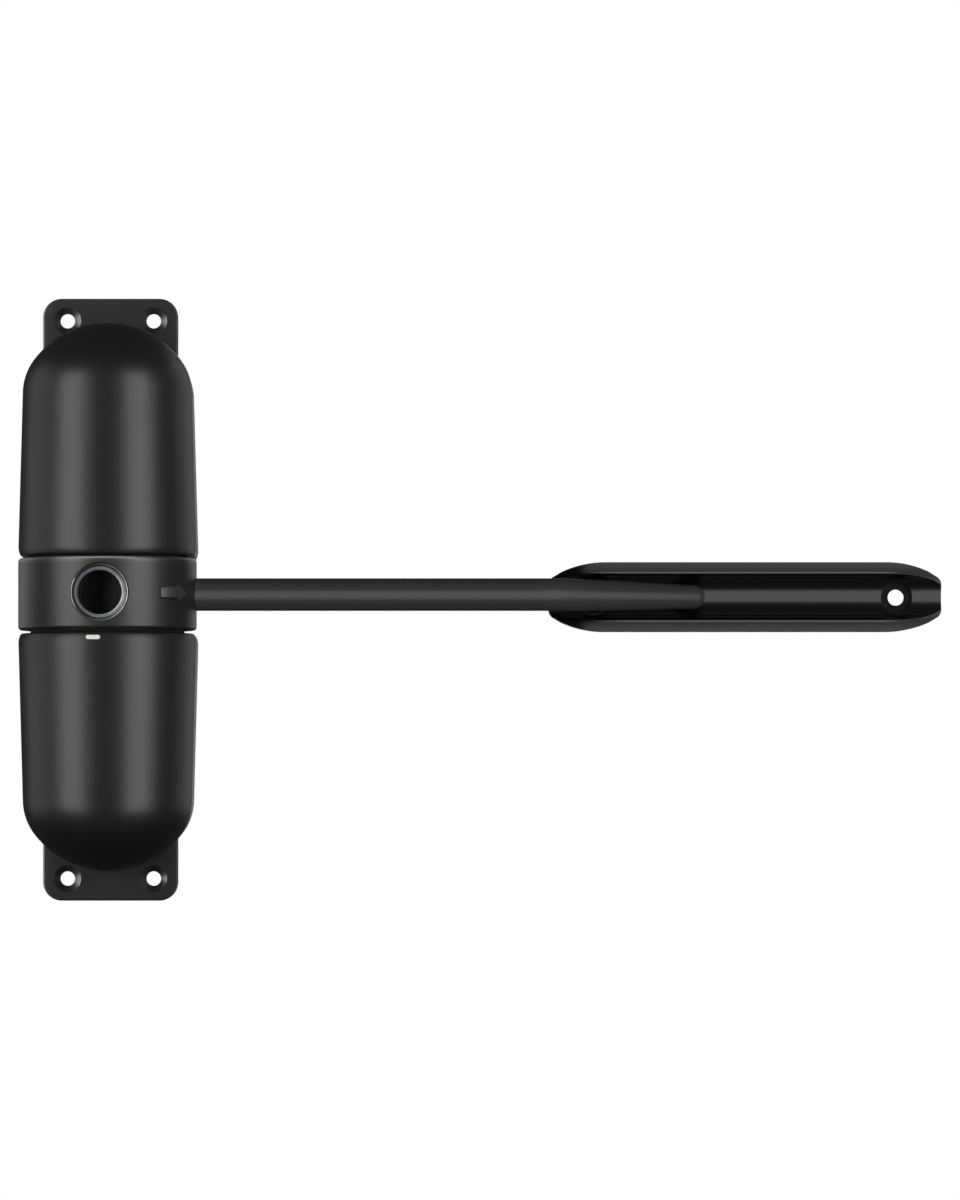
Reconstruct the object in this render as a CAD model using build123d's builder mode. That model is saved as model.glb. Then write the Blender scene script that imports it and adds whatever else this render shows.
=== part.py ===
from build123d import *
import os
from math import atan2, cos, degrees, radians, sin, sqrt, tan

# A surface-mounted spring door closer. A base plate carries a fixed upright shaft in two brackets. A drum
# turns on the shaft between two domed covers, and a torsion spring in each cover turns it back. A rod leaves
# the drum, bends towards the wall, and its tip runs on a ball in the groove of a slide plate on the door.
# The origin is the centre of the base plate's back face. The wall is Y = 0, the front is -Y, the rod points
# along +X and the shaft stands along Z. All sizes are in millimetres.

# Base plate
plate_width = 30.3
plate_height = 135.0
plate_thickness = 2.0
plate_corner_radius = 4.2
plate_front_edge = 0.4
mount_edge_x = 5.5
mount_edge_z = 4.95
mount_hole_diameter = 3.5
mount_countersink_diameter = 6.2
countersink_angle = 90

# Drum, the ring that turns between the covers
drum_diameter = 39.4
drum_height = 15.9
drum_centre_height = 0.5
drum_wall_gap = 0.5
drum_edge = 0.6
spigot_step = 2.7
spigot_length = 2.5

# Raised arrow on the drum, as chords seen square to its middle
arrow_azimuth = 50.0
arrow_tail_length = 5.4
arrow_head_length = 4.0
arrow_tail_height = 2.7
arrow_head_height = 4.1
arrow_relief = 0.35
arrow_root = 0.5

# Shaft, its nuts and washers, and the bushes that the drum runs on
shaft_diameter = 8.0
shaft_end_chamfer = 0.8
running_clearance = 0.05
bush_diameter = 11.0
bush_length = 9.5
bush_flange_diameter = 15.0
bush_flange_thickness = 1.0
nut_across_flats = 13.0
nut_height = 4.0
washer_diameter = 16.0
washer_thickness = 1.2
thread_stand_out = 1.0
shaft_end_clearance = 5.5

# Radial sockets in the drum and the steel sleeves in them
front_socket_azimuth = -3.4
socket_diameter = 12.8
socket_floor_radius = 9.0
sleeve_clearance = 0.05
sleeve_bore_diameter = 9.6
sleeve_face_radius = 18.0
arm_sleeve_length = 7.5
sleeve_edge = 0.3

# Rod
rod_diameter = 7.2
rod_hole_clearance = 0.05
rod_corner_x = 98.0
rod_bend_radius = 12.0
rod_tip_diameter = 5.4
rod_reach = 133.0

# Ball in the rod's tip
ball_radius = 2.0
ball_offset = 1.0
ball_floor_gap = 0.1

# Slide plate
track_lead = 11.85
track_length = 88.0
track_width = 15.5
track_thickness = 6.5
track_end_curve = 12.5
track_nose_width = 8.2
track_nose_fillet = 2.2
track_ramp_length = 14.0
track_end_thickness = 3.2
track_edge_fillet = 1.5
groove_depth = 4.0
groove_radius = 5.3
track_hole_edge = 10.0
track_hole_diameter = 3.6
track_countersink_diameter = 7.0
track_hole_draft = 19

# Covers
cover_taper = 1.0
cover_end_margin = 7.1
dome_height = 15.6
dome_corner_angle = 37.0
cover_wall = 1.7
cover_rim_wall = 1.5
cover_rim_edge = 0.9
upper_rim_gap = 0.45
lower_rim_gap = 0.7
spigot_clearance = 0.4
cover_back_gap = 0.3
plate_side_clearance = 0.3
boss_x = 12.0
boss_foot_gap = 4.2
boss_diameter = 5.6
boss_length = 8.0
boss_rib_thickness = 2.0

# Screws that hold the covers from behind the base plate
cover_screw_diameter = 2.9
cover_screw_head_diameter = 5.4
cover_screw_length = 8.0
cover_screw_tip = 0.6
head_recess = 0.1
screw_hole_clearance = 0.15

# Brackets and their rivets
bracket_thickness = 2.0
bracket_half_width = 11.0
bracket_foot_height = 14.0
bracket_bend_radius = 1.5
rivet_x = 6.0
rivet_rise = 4.5
rivet_diameter = 3.0
rivet_clearance = 0.1
rivet_back_diameter = 5.0
rivet_head_diameter = 5.6
rivet_head_height = 1.4

# Torsion springs of square wire, and their guides
spring_wire = 2.6
spring_mean_radius = 12.0
spring_turn_gap = 1.1
spring_facets = 20
spring_end_gap = 0.6
spring_leg_depth = 4.0
spring_leg_clearance = 0.2
guide_core_diameter = 15.0
guide_rib_diameter = 20.0
guide_rib_thickness = 2.0
guide_rib_pairs = 3
guide_bore_clearance = 0.15
guide_end_gap = 0.4

# Pale index mark under the lower cover's rim
mark_azimuth = -8.0
mark_length = 3.9
mark_height = 1.4
mark_drop = 1.3
mark_pocket_depth = 0.6
mark_thickness = 0.45
mark_clearance = 0.05

# Places that follow from the sizes above
drum_radius = drum_diameter / 2
spigot_radius = drum_radius - spigot_step
axis_y = -(plate_thickness + drum_wall_gap + drum_radius)
shaft_axis = Axis((0, axis_y, 0), (0, 0, 1))
axis_plane = Plane(origin=(0, axis_y, 0), x_dir=(1, 0, 0), z_dir=(0, 0, 1))
front_plane = Plane(origin=(0, 0, 0), x_dir=(1, 0, 0), z_dir=(0, -1, 0))
back_plane = Plane(origin=(0, 0, 0), x_dir=(-1, 0, 0), z_dir=(0, 1, 0))
spigot_half_length = drum_height / 2 + spigot_length
cover_apex_height = plate_height / 2 - cover_end_margin
shoulder_height = cover_apex_height - dome_height
shoulder_radius = drum_radius - cover_taper
shaft_half_length = cover_apex_height - cover_wall - shaft_end_clearance
bracket_outer_height = shaft_half_length - thread_stand_out - nut_height - washer_thickness
bracket_inner_height = bracket_outer_height - bracket_thickness
bracket_foot_end = bracket_outer_height - bracket_foot_height
rivet_height = bracket_foot_end + rivet_rise
boss_height = bracket_foot_end - boss_foot_gap - boss_diameter / 2
shaft_hole_radius = shaft_diameter / 2 + running_clearance
leg_hole_radius = spring_wire / sqrt(2) + spring_leg_clearance
rod_hole_diameter = rod_diameter + 2 * rod_hole_clearance
track_floor_y = -(track_thickness - groove_depth)
ball_y = track_floor_y - ball_floor_gap - ball_radius
tip_radius = rod_tip_diameter / 2
tip_x = rod_reach - tip_radius
tip_y = ball_y - ball_offset
track_centre_x = tip_x + track_lead
os.makedirs("parts", exist_ok=True)


def radial_plane(azimuth, distance=0.0, height=drum_centre_height):
    """A plane square to a radius of the drum, at an angle from the front towards +X, facing outwards."""
    outward = Vector(sin(radians(azimuth)), -cos(radians(azimuth)), 0)
    sideways = Vector(cos(radians(azimuth)), sin(radians(azimuth)), 0)
    centre = Vector(0, axis_y, height)
    return Plane(origin=centre + outward * distance, x_dir=sideways, z_dir=outward)


def rim_height(side):
    """How far a cover's rim is from the plate's middle, above it or below it."""
    gap = upper_rim_gap if side > 0 else lower_rim_gap
    return side * drum_centre_height + drum_height / 2 + gap


def cover_radius(side, height):
    """A cover's outer radius at a height between its rim and its shoulder."""
    share = (height - rim_height(side)) / (shoulder_height - rim_height(side))
    return drum_radius + (shoulder_radius - drum_radius) * share


def half_round_form(side, start, inset, back_y):
    """A taper and a dome about the shaft's axis, with their outline carried straight back to the wall."""
    plane = Plane(origin=(0, axis_y, 0), x_dir=(side, 0, 0), z_dir=(0, -1, 0))
    start_radius = cover_radius(side, start) - inset
    end_radius = shoulder_radius - inset
    rise = dome_height - inset
    cosine = cos(radians(dome_corner_angle))
    sine = sin(radians(dome_corner_angle))
    corner_radius = (rise * cosine - end_radius * (1 - sine)) / (cosine + sine - 1)
    crown_radius = (end_radius * sine - rise * (1 - cosine)) / (cosine + sine - 1)
    with BuildPart() as form:
        with BuildSketch(plane) as half:
            with BuildLine():
                corner = JernArc((end_radius, shoulder_height), (0, 1), corner_radius, dome_corner_angle)
                crown = JernArc(corner @ 1, corner % 1, crown_radius, 90 - dome_corner_angle)
                Polyline(crown @ 1, (0, start), (start_radius, start), corner @ 0)
            make_face()
        revolve(axis=shaft_axis)
        with BuildSketch(plane):
            add(half.sketch_local)
            mirror(half.sketch_local, about=Plane.YZ)
        extrude(amount=axis_y - back_y)
    return form.part


def save(piece, name):
    """Labels a finished piece and writes it under its name."""
    piece.label = name
    export_step(piece, f"parts/{name}.step")


# Base plate: countersunk at its corners from the front, and from the back for the rivets and cover screws
with BuildPart() as base_plate:
    with BuildSketch(front_plane):
        RectangleRounded(plate_width, plate_height, plate_corner_radius)
    extrude(amount=plate_thickness)
    chamfer(base_plate.faces().sort_by(Axis.Y)[0].outer_wire().edges(), plate_front_edge)
    with Locations(front_plane.offset(plate_thickness)):
        with GridLocations(plate_width - 2 * mount_edge_x, plate_height - 2 * mount_edge_z, 2, 2):
            CounterSinkHole(
                mount_hole_diameter / 2,
                mount_countersink_diameter / 2,
                counter_sink_angle=countersink_angle,
            )
    with Locations(back_plane):
        with GridLocations(2 * boss_x, 2 * boss_height, 2, 2):
            CounterSinkHole(
                cover_screw_diameter / 2 + screw_hole_clearance,
                cover_screw_head_diameter / 2 + head_recess + screw_hole_clearance,
                counter_sink_angle=countersink_angle,
            )
        with GridLocations(2 * rivet_x, 2 * rivet_height, 2, 2):
            CounterSinkHole(
                rivet_diameter / 2 + rivet_clearance,
                rivet_back_diameter / 2 + head_recess + rivet_clearance,
                counter_sink_angle=countersink_angle,
            )
save(base_plate.part, "base_plate")

# Brackets: a foot riveted to the plate and a tongue that holds the shaft's end and the spring's outer leg
for side, name in ((1, "upper_bracket"), (-1, "lower_bracket")):
    foot_middle = side * (bracket_outer_height - bracket_foot_height / 2)
    inner_height = side * bracket_inner_height
    wall_distance = -plate_thickness - axis_y
    with BuildPart() as bracket:
        with BuildSketch(front_plane.offset(plate_thickness)):
            with Locations((0, foot_middle)):
                Rectangle(2 * bracket_half_width, bracket_foot_height)
        extrude(amount=bracket_thickness)
        with BuildSketch(axis_plane.offset(inner_height)):
            with Locations((0, wall_distance / 2)):
                Rectangle(2 * bracket_half_width, wall_distance)
            Circle(bracket_half_width)
        extrude(amount=side * bracket_thickness)
        inner_corner = bracket.edges().filter_by(Axis.X).sort_by_distance(
            (0, -plate_thickness - bracket_thickness, inner_height)
        )[0]
        fillet(inner_corner, bracket_bend_radius)
        with Locations((0, axis_y, inner_height)):
            Cylinder(shaft_hole_radius, 4 * bracket_thickness, mode=Mode.SUBTRACT)
        with Locations((0, axis_y + spring_mean_radius, inner_height)):
            Cylinder(leg_hole_radius, 4 * bracket_thickness, mode=Mode.SUBTRACT)
        with Locations(front_plane.offset(plate_thickness + bracket_thickness)):
            with Locations((rivet_x, side * rivet_height), (-rivet_x, side * rivet_height)):
                Hole(rivet_diameter / 2 + rivet_clearance, depth=bracket_thickness)
    save(bracket.part, name)

# Rivets: a shank, a countersunk closing head flush in the plate's back and a round head on the bracket
with BuildPart() as bracket_rivets:
    with BuildSketch(Plane.XY):
        with BuildLine():
            cone_end_y = -head_recess - (rivet_back_diameter - rivet_diameter) / 2
            seat_y = -(plate_thickness + bracket_thickness)
            crown_point = (0, seat_y - rivet_head_height)
            head = TangentArc(crown_point, (rivet_head_diameter / 2, seat_y), tangent=(1, 0))
            Polyline(
                head @ 1,
                (rivet_diameter / 2, seat_y),
                (rivet_diameter / 2, cone_end_y),
                (rivet_back_diameter / 2, -head_recess),
                (0, -head_recess),
                head @ 0,
            )
        make_face()
    rivet = revolve(axis=Axis.Y, mode=Mode.PRIVATE)
    for x in (-rivet_x, rivet_x):
        for z in (-rivet_height, rivet_height):
            add(Pos(x, 0, z) * rivet)
save(bracket_rivets.part, "bracket_rivets")

# Shaft: fixed in the brackets, with a washer and a nut outside each
with BuildPart() as shaft:
    with Locations(axis_plane):
        Cylinder(shaft_diameter / 2, 2 * shaft_half_length)
    chamfer(shaft.edges().filter_by(GeomType.CIRCLE), shaft_end_chamfer)
save(shaft.part, "shaft")

with BuildPart() as shaft_washers:
    for side in (1, -1):
        with BuildSketch(axis_plane.offset(side * bracket_outer_height)):
            Circle(washer_diameter / 2)
            Circle(shaft_hole_radius, mode=Mode.SUBTRACT)
        extrude(amount=side * washer_thickness)
save(shaft_washers.part, "shaft_washers")

with BuildPart() as shaft_nuts:
    for side in (1, -1):
        with BuildSketch(axis_plane.offset(side * (bracket_outer_height + washer_thickness))):
            RegularPolygon(nut_across_flats / 2, 6, major_radius=False)
            Circle(shaft_hole_radius, mode=Mode.SUBTRACT)
        extrude(amount=side * nut_height)
save(shaft_nuts.part, "shaft_nuts")

# Torsion springs of opposite hands, as square sections along a helix with flat facets between them: the inner
# leg enters the drum's end and the outer leg enters the bracket, both on the wall side of the shaft
for side, name in ((1, "upper_spring"), (-1, "lower_spring")):
    drum_end = drum_centre_height + side * spigot_half_length
    coil_start = drum_end + side * (spring_end_gap + spring_wire / 2)
    coil_end = side * (bracket_inner_height - spring_end_gap - spring_wire / 2)
    coil_height = coil_end - coil_start
    spring_turns = int(abs(coil_height) / (spring_wire + spring_turn_gap))
    legs = ((drum_end - side * spring_leg_depth, coil_start), (coil_end, side * bracket_outer_height))
    with BuildPart() as spring:
        for facet in range(spring_turns * spring_facets + 1):
            turns = facet / spring_facets
            wire_height = coil_start + coil_height * turns / spring_turns
            place = radial_plane(180 + 360 * turns, spring_mean_radius, wire_height)
            with BuildSketch(Plane(origin=place.origin, x_dir=place.z_dir, z_dir=place.x_dir)):
                Rectangle(spring_wire, spring_wire)
        loft(ruled=True)
        for leg_start, leg_end in legs:
            with Locations((0, axis_y + spring_mean_radius, (leg_start + leg_end) / 2)):
                Box(spring_wire, spring_wire, abs(leg_end - leg_start))
    save(spring.part, name)
    print(name, spring_turns, "turns, least gap", round(abs(coil_height) / spring_turns - spring_wire, 2))

# Spring guides: ribbed plastic tubes on the shaft that keep the springs central
for side, name in ((1, "upper_spring_guide"), (-1, "lower_spring_guide")):
    guide_start = drum_centre_height + side * (spigot_half_length + bush_flange_thickness + guide_end_gap)
    with BuildPart() as guide:
        with BuildSketch(axis_plane.offset(guide_start)):
            Circle(guide_core_diameter / 2)
            with PolarLocations(0, guide_rib_pairs, angular_range=180):
                Rectangle(guide_rib_diameter, guide_rib_thickness)
            Circle(shaft_diameter / 2 + guide_bore_clearance, mode=Mode.SUBTRACT)
        extrude(amount=side * bracket_inner_height - guide_start)
    save(guide.part, name)

# Arrow on the drum, pointing to the rod
with BuildPart() as arrow:
    arrow_half = (arrow_tail_length + arrow_head_length) / 2
    neck_x = arrow_tail_length - arrow_half
    with BuildSketch(radial_plane(arrow_azimuth)):
        with BuildLine():
            Polyline(
                (-arrow_half, -arrow_tail_height / 2),
                (neck_x, -arrow_tail_height / 2),
                (neck_x, -arrow_head_height / 2),
                (arrow_half, 0),
                (neck_x, arrow_head_height / 2),
                (neck_x, arrow_tail_height / 2),
                (-arrow_half, arrow_tail_height / 2),
                close=True,
            )
        make_face()
    extrude(amount=drum_diameter)
    with Locations((0, axis_y, drum_centre_height)):
        Cylinder(drum_radius + arrow_relief, drum_height, mode=Mode.INTERSECT)
        Cylinder(drum_radius - arrow_root, drum_height, mode=Mode.SUBTRACT)

# Drum: a ring with a spigot into each cover, a bore for the bushes, two radial sockets and a hole for each
# spring's inner leg
with BuildPart() as drum:
    bore_radius = bush_diameter / 2 + sleeve_clearance
    for half_height, radius in ((drum_height / 2, drum_radius), (spigot_half_length, spigot_radius)):
        with BuildSketch(axis_plane.offset(drum_centre_height - half_height)):
            Circle(radius)
        extrude(amount=2 * half_height)
    circles = drum.edges().filter_by(GeomType.CIRCLE)
    chamfer(circles.filter_by(lambda e: abs(e.radius - drum_radius) < 1e-6), drum_edge)
    with Locations((0, axis_y, drum_centre_height)):
        Cylinder(bore_radius, 2 * spigot_half_length, mode=Mode.SUBTRACT)
    for azimuth, diameter, depth in (
        (front_socket_azimuth, socket_diameter, drum_radius),
        (90, socket_diameter, arm_sleeve_length + sleeve_clearance),
        (90, rod_hole_diameter, drum_radius),
    ):
        with BuildSketch(radial_plane(azimuth, socket_floor_radius)):
            Circle(diameter / 2)
        extrude(amount=depth, mode=Mode.SUBTRACT)
    for side in (1, -1):
        with Locations((0, axis_y + spring_mean_radius, drum_centre_height + side * spigot_half_length)):
            Cylinder(leg_hole_radius, 2 * (spring_leg_depth + spring_leg_clearance), mode=Mode.SUBTRACT)
    add(arrow.part)
save(drum.part, "drum")

# Flanged bushes pressed into the drum from both ends
for side, name in ((1, "upper_bush"), (-1, "lower_bush")):
    bush_face = drum_centre_height + side * spigot_half_length
    with BuildPart() as bush:
        with BuildSketch(axis_plane.offset(bush_face)):
            Circle(bush_diameter / 2)
        extrude(amount=-side * bush_length)
        with BuildSketch(axis_plane.offset(bush_face)):
            Circle(bush_flange_diameter / 2)
        extrude(amount=side * bush_flange_thickness)
        with Locations((0, axis_y, bush_face)):
            Cylinder(shaft_hole_radius, 4 * bush_length, mode=Mode.SUBTRACT)
    save(bush.part, name)

# Steel sleeves in the drum's sockets: the front one takes the tensioning bar, and the other, cast in behind
# the rod's hole, takes the rod
for azimuth, bore_diameter, sleeve_length, name in (
    (front_socket_azimuth, sleeve_bore_diameter, sleeve_face_radius - socket_floor_radius, "front_socket_sleeve"),
    (90, rod_hole_diameter, arm_sleeve_length, "arm_socket_sleeve"),
):
    outward = Axis(radial_plane(azimuth).origin, radial_plane(azimuth).z_dir)
    with BuildPart() as sleeve:
        with BuildSketch(radial_plane(azimuth, socket_floor_radius)):
            Circle(socket_diameter / 2 - sleeve_clearance)
            Circle(bore_diameter / 2, mode=Mode.SUBTRACT)
        extrude(amount=sleeve_length)
        chamfer(sleeve.faces().sort_by(outward)[-1].edges(), sleeve_edge)
    save(sleeve.part, name)

# Rod: a straight length from its sleeve, a bend towards the wall and a tapered length with a round tip, which
# holds the ball on its wall side
rod_radius = rod_diameter / 2
taper_angle = degrees(atan2(tip_y - axis_y, tip_x - rod_corner_x))
straight_end = rod_corner_x - rod_bend_radius * tan(radians(taper_angle / 2))
rod_axis = Axis((0, axis_y, drum_centre_height), (1, 0, 0))
tip_centre = Vector(tip_x, tip_y, drum_centre_height)
with BuildPart() as arm_rod:
    with BuildSketch(axis_plane.offset(drum_centre_height)):
        with BuildLine():
            Polyline(
                (socket_floor_radius, 0),
                (socket_floor_radius, rod_radius - sleeve_edge),
                (socket_floor_radius + sleeve_edge, rod_radius),
                (straight_end, rod_radius),
                (straight_end, 0),
                close=True,
            )
        make_face()
    revolve(axis=rod_axis)
    with BuildLine(axis_plane.offset(drum_centre_height)) as bend:
        JernArc((straight_end, 0), (1, 0), rod_bend_radius, taper_angle)
    with BuildSketch(Plane(origin=bend.line @ 0, z_dir=bend.line % 0)):
        Circle(rod_radius)
    sweep(path=bend.line)
    taper_start = bend.line @ 1
    taper_plane = Plane(origin=taper_start, x_dir=bend.line % 1, z_dir=(0, 0, 1))
    taper_length = (tip_centre - taper_start).length
    with BuildSketch(taper_plane):
        with BuildLine():
            Polyline((0, 0), (0, rod_radius), (taper_length, tip_radius), (taper_length, 0), close=True)
        make_face()
    revolve(axis=Axis(taper_start, taper_plane.x_dir))
    with Locations(tip_centre):
        Sphere(tip_radius)
    with Locations((tip_x, ball_y, drum_centre_height)):
        Sphere(ball_radius + running_clearance, mode=Mode.SUBTRACT)
save(arm_rod.part, "arm_rod")

with BuildPart() as nose_ball:
    with Locations((tip_x, ball_y, drum_centre_height)):
        Sphere(ball_radius)
save(nose_ball.part, "nose_ball")

# Slide plate: a bar with bullet-shaped ends that ramp down, a round groove along it and two screw holes
with BuildPart() as slide_plate:
    track_plane = Plane(origin=(track_centre_x, 0, drum_centre_height), x_dir=(1, 0, 0), z_dir=(0, -1, 0))
    half_length = track_length / 2
    with BuildSketch(track_plane) as outline:
        with BuildLine():
            for across in (1, -1):
                for along in (1, -1):
                    shoulder = (along * (half_length - track_end_curve), across * track_width / 2)
                    nose = (along * half_length, across * track_nose_width / 2)
                    TangentArc(shoulder, nose, tangent=(along, 0))
                    Line(nose, (along * half_length, 0))
                    Line(shoulder, (0, across * track_width / 2))
        make_face()
        nose_corners = outline.vertices().filter_by(lambda v: abs(abs(v.X) - half_length) < 1e-6)
        fillet(nose_corners.filter_by(lambda v: abs(v.Y) > 1e-6), track_nose_fillet)
    extrude(amount=track_thickness)
    with BuildSketch(Plane(origin=(track_centre_x, 0, drum_centre_height), x_dir=(1, 0, 0), z_dir=(0, 0, 1))):
        with BuildLine():
            for along in (1, -1):
                ramp_start = (along * (half_length - track_ramp_length), -track_thickness)
                ramp_end = (along * half_length, -track_end_thickness)
                TangentArc(ramp_start, ramp_end, tangent=(along, 0))
                Line(ramp_start, (0, -track_thickness))
                Polyline(ramp_end, (along * half_length, 0), (0, 0))
        make_face()
    extrude(amount=track_width, both=True, mode=Mode.INTERSECT)
    top_faces = slide_plate.faces().filter_by(lambda f: f.normal_at().Y < -0.5)
    top_edges = [e for f in top_faces for e in f.edges() if abs(e.tangent_at(0.5).Z) < 0.999]
    fillet(top_edges, track_edge_fillet)
    groove_centre = (track_centre_x, track_floor_y - groove_radius, drum_centre_height)
    with BuildSketch(Plane(origin=groove_centre, z_dir=(1, 0, 0))):
        Circle(groove_radius)
    extrude(amount=track_length, both=True, mode=Mode.SUBTRACT)
    with Locations(track_plane.offset(-track_floor_y)):
        with GridLocations(track_length - 2 * track_hole_edge, 0, 2, 1):
            Cone(
                track_countersink_diameter / 2,
                track_countersink_diameter / 2 + tan(radians(track_hole_draft)) * track_thickness,
                track_thickness,
                align=(Align.CENTER, Align.CENTER, Align.MIN),
                mode=Mode.SUBTRACT,
            )
            CounterSinkHole(
                track_hole_diameter / 2,
                track_countersink_diameter / 2,
                counter_sink_angle=countersink_angle,
            )
save(slide_plate.part, "slide_plate")

# Covers: hollow half-round shells with a wall at the rim round the drum's spigot, a notch where the base
# plate passes, and two screw bosses
mark_surface = cover_radius(-1, rim_height(-1) + mark_drop)
mark_plane = radial_plane(mark_azimuth, mark_surface - mark_pocket_depth, -rim_height(-1) - mark_drop)
for side, name in ((1, "upper_cover"), (-1, "lower_cover")):
    rim = rim_height(side)
    shell = half_round_form(side, rim, 0, -cover_back_gap)
    cavity = half_round_form(side, rim + cover_rim_wall, cover_wall, 0)
    wall_x = cover_radius(side, boss_height) - cover_wall / 2
    with BuildPart() as cover:
        add(shell)
        fillet(cover.faces().sort_by(Axis.Z)[-1 if side < 0 else 0].outer_wire().edges(), cover_rim_edge)
        add(cavity, mode=Mode.SUBTRACT)
        with Locations((0, axis_y, side * rim)):
            Cylinder(spigot_radius + spigot_clearance, 4 * cover_rim_wall, mode=Mode.SUBTRACT)
        for direction in (1, -1):
            with BuildSketch(front_plane.offset(plate_thickness)):
                with Locations((direction * boss_x, side * boss_height)):
                    Circle(boss_diameter / 2)
                with Locations((direction * (boss_x + wall_x) / 2, side * boss_height)):
                    Rectangle(wall_x - boss_x, boss_rib_thickness)
            extrude(amount=boss_length)
            with Locations((direction * boss_x, 0, side * boss_height)):
                Cylinder(
                    cover_screw_diameter / 2 + running_clearance,
                    2 * (cover_screw_length + cover_screw_tip),
                    rotation=(90, 0, 0),
                    mode=Mode.SUBTRACT,
                )
        with Locations((0, 0, side * cover_apex_height / 2)):
            Box(
                plate_width + 2 * plate_side_clearance,
                2 * plate_thickness,
                cover_apex_height,
                mode=Mode.SUBTRACT,
            )
        if side < 0:
            with BuildSketch(mark_plane):
                SlotOverall(mark_length, mark_height)
            extrude(amount=cover_wall, mode=Mode.SUBTRACT)
    save(cover.part, name)

with BuildPart() as index_mark:
    with BuildSketch(mark_plane):
        SlotOverall(mark_length - 2 * mark_clearance, mark_height - 2 * mark_clearance)
    extrude(amount=mark_thickness)
save(index_mark.part, "index_mark")

# Cover screws: countersunk flush in the plate's back
with BuildPart() as cover_screws:
    screw_radius = cover_screw_diameter / 2
    head_radius = cover_screw_head_diameter / 2
    with BuildSketch(Plane.XY):
        with BuildLine():
            Polyline(
                (0, -head_recess),
                (head_radius, -head_recess),
                (screw_radius, -head_recess - (head_radius - screw_radius)),
                (screw_radius, cover_screw_tip - cover_screw_length),
                (screw_radius - cover_screw_tip, -cover_screw_length),
                (0, -cover_screw_length),
                close=True,
            )
        make_face()
    screw = revolve(axis=Axis.Y, mode=Mode.PRIVATE)
    for x in (-boss_x, boss_x):
        for z in (-boss_height, boss_height):
            add(Pos(x, 0, z) * screw)
save(cover_screws.part, "cover_screws")
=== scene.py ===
"""Looks of a surface-mounted spring door closer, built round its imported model."""

from math import asin, atan2, cos, degrees, hypot, pi, radians, sin, tan, tau

import bmesh
import bpy
from bpy.props import FloatProperty, FloatVectorProperty, IntProperty, PointerProperty
from bpy.types import Operator, Panel, PropertyGroup
from mathutils import Matrix, Vector


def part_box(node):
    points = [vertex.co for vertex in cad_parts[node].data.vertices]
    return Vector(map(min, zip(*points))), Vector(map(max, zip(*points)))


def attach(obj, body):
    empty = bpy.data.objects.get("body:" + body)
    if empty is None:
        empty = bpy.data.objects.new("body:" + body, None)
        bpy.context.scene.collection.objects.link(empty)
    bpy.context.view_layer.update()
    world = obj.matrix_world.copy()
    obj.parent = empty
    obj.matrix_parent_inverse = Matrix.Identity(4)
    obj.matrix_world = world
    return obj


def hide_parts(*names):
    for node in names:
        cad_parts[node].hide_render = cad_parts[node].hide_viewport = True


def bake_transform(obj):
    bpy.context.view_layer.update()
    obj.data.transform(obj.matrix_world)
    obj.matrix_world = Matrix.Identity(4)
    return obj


bl_info = {
    "name": "Spring door closer",
    "version": (1, 0, 0),
    "blender": (4, 5, 0),
    "location": "3D View > Sidebar > Door closer",
    "description": "Builds the covers, drum, rod, slide plate and finishes of a spring door closer",
    "category": "Object",
}

MM = 0.001
NEAR = 1e-7  # places closer than this are one
FIT = 0.05 * MM  # room round a piece that is seated in another
QUARTER = pi / 2

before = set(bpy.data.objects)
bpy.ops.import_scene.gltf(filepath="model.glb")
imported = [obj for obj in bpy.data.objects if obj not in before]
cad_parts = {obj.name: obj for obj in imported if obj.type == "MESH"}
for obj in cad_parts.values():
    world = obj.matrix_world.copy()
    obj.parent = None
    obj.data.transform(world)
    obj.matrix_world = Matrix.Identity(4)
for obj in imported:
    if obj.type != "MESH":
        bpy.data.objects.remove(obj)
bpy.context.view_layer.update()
drum_low, drum_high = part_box("drum")
track_low, track_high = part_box("slide_plate")
plate_low, plate_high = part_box("base_plate")
DRUM_RADIUS = (drum_high.x - drum_low.x) / 2
DRUM_HALF = (drum_high.z - drum_low.z) / 2
DRUM_Z = (drum_low.z + drum_high.z) / 2
SHAFT_Y = (drum_low.y + drum_high.y) / 2


# Sizes and colours that a user may change


def length(name, default, description):
    """A size in metres, with its default in millimetres."""
    return FloatProperty(
        name=name, default=default * MM, description=description, min=0, precision=5, subtype="DISTANCE"
    )


def colour(name, default, owner):
    """A linear colour of some pieces."""
    text = "Colour of " + owner
    return FloatVectorProperty(
        name=name, default=default, description=text, size=3, min=0, max=1, subtype="COLOR"
    )


def share(name, default, description):
    """A number between nought and one."""
    return FloatProperty(name=name, default=default, description=description, min=0, max=1, subtype="FACTOR")


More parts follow.
